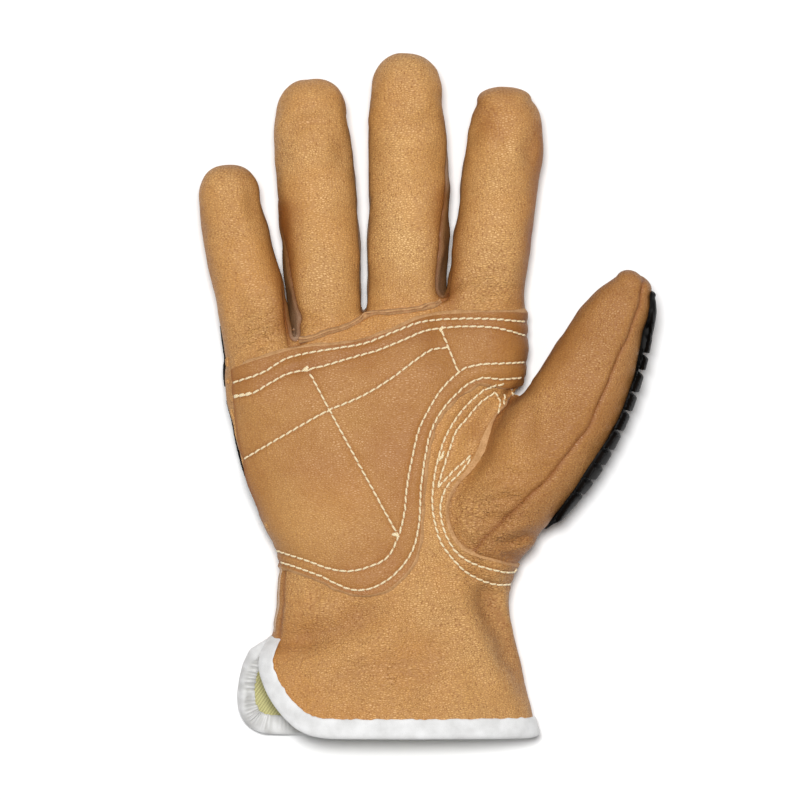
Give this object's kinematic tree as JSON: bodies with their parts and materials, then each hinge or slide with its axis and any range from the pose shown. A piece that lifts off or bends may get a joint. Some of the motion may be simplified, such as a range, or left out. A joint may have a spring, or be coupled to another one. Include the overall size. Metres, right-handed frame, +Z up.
{
  "type": "driver work glove",
  "caption": "Right-hand leather driver's work glove with a stitched palm overlay, black rubber guards on the thumb and back, and a slit cuff bound with white tape.",
  "frame": {"origin": "middle of the bounding box in X and Y, on its lowest plane, which the guards' pads and the cuff rest on", "axes": "+X from the little finger to the thumb, +Y from the hem to the fingertips, +Z up, out of the palm"},
  "size_m": [0.1728, 0.2544, 0.0487],
  "materials": {
    "goatskin": "grained",
    "guard_rubber": "satin",
    "binding_tape": "matte",
    "lining_twill": "matte"
  },
  "bodies": {
    "root": {"palm_panel": "goatskin", "ring_front": "goatskin", "middle_front": "goatskin", "back_panel": "goatskin", "fourchette_little_ring": "goatskin", "fourchette_ring_middle": "goatskin", "fourchette_middle_index": "goatskin", "thumb_outer": "goatskin", "thumb_front": "goatskin", "palm_patch": "goatskin", "guard_knuckles": "guard_rubber", "guard_hand": "guard_rubber", "guard_thumb": "guard_rubber", "cuff_lining": "lining_twill", "cuff_binding": "binding_tape"}
  },
  "joints": []
}
